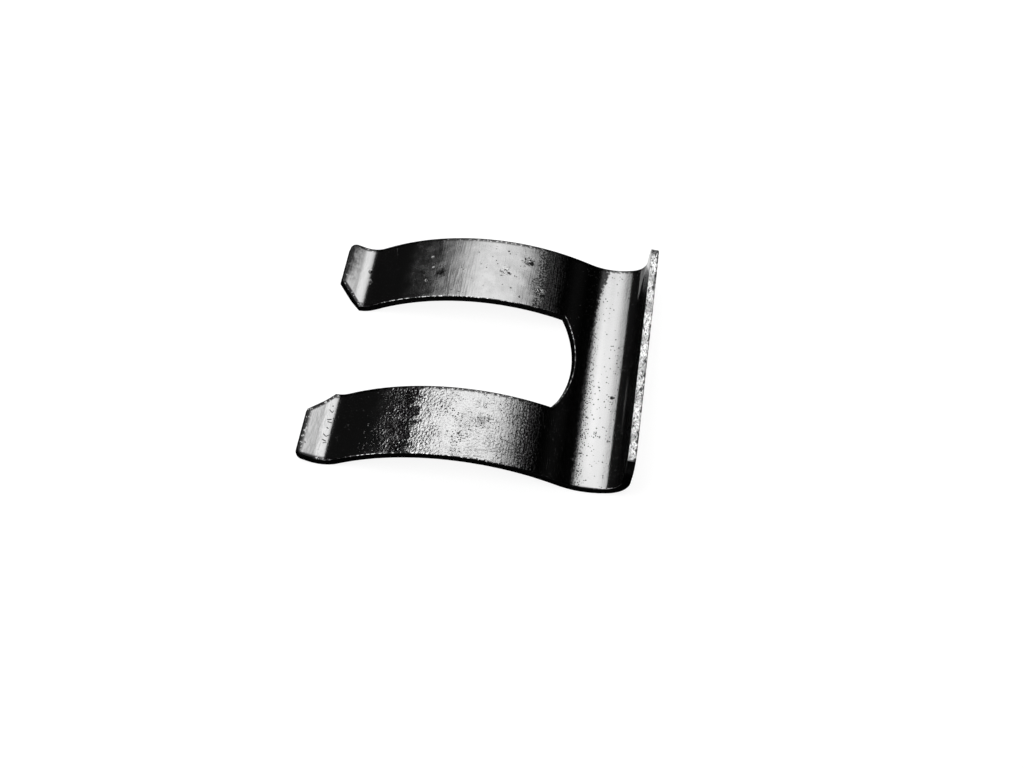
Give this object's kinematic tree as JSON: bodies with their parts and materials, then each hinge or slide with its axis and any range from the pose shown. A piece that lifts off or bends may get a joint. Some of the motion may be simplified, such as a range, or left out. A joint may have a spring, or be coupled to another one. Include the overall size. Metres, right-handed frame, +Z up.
{
  "type": "spring retaining clip",
  "caption": "Slotted spring-steel retaining clip with bowed legs, turned-up toes and an upright flange, pushed sideways into a fitting's groove.",
  "frame": {"origin": "middle of the footprint, on the surface that the clip lies on", "axes": "+X from the toes to the flange, +Y across the two legs, +Z up out of the crowned side"},
  "size_m": [0.0374, 0.03, 0.0065],
  "materials": {
    "spring_steel": "dark oiled spring steel, glossy on the rolled faces, matt and rough on the sheared edges"
  },
  "bodies": {
    "root": {"clip": "spring_steel"}
  },
  "joints": []
}
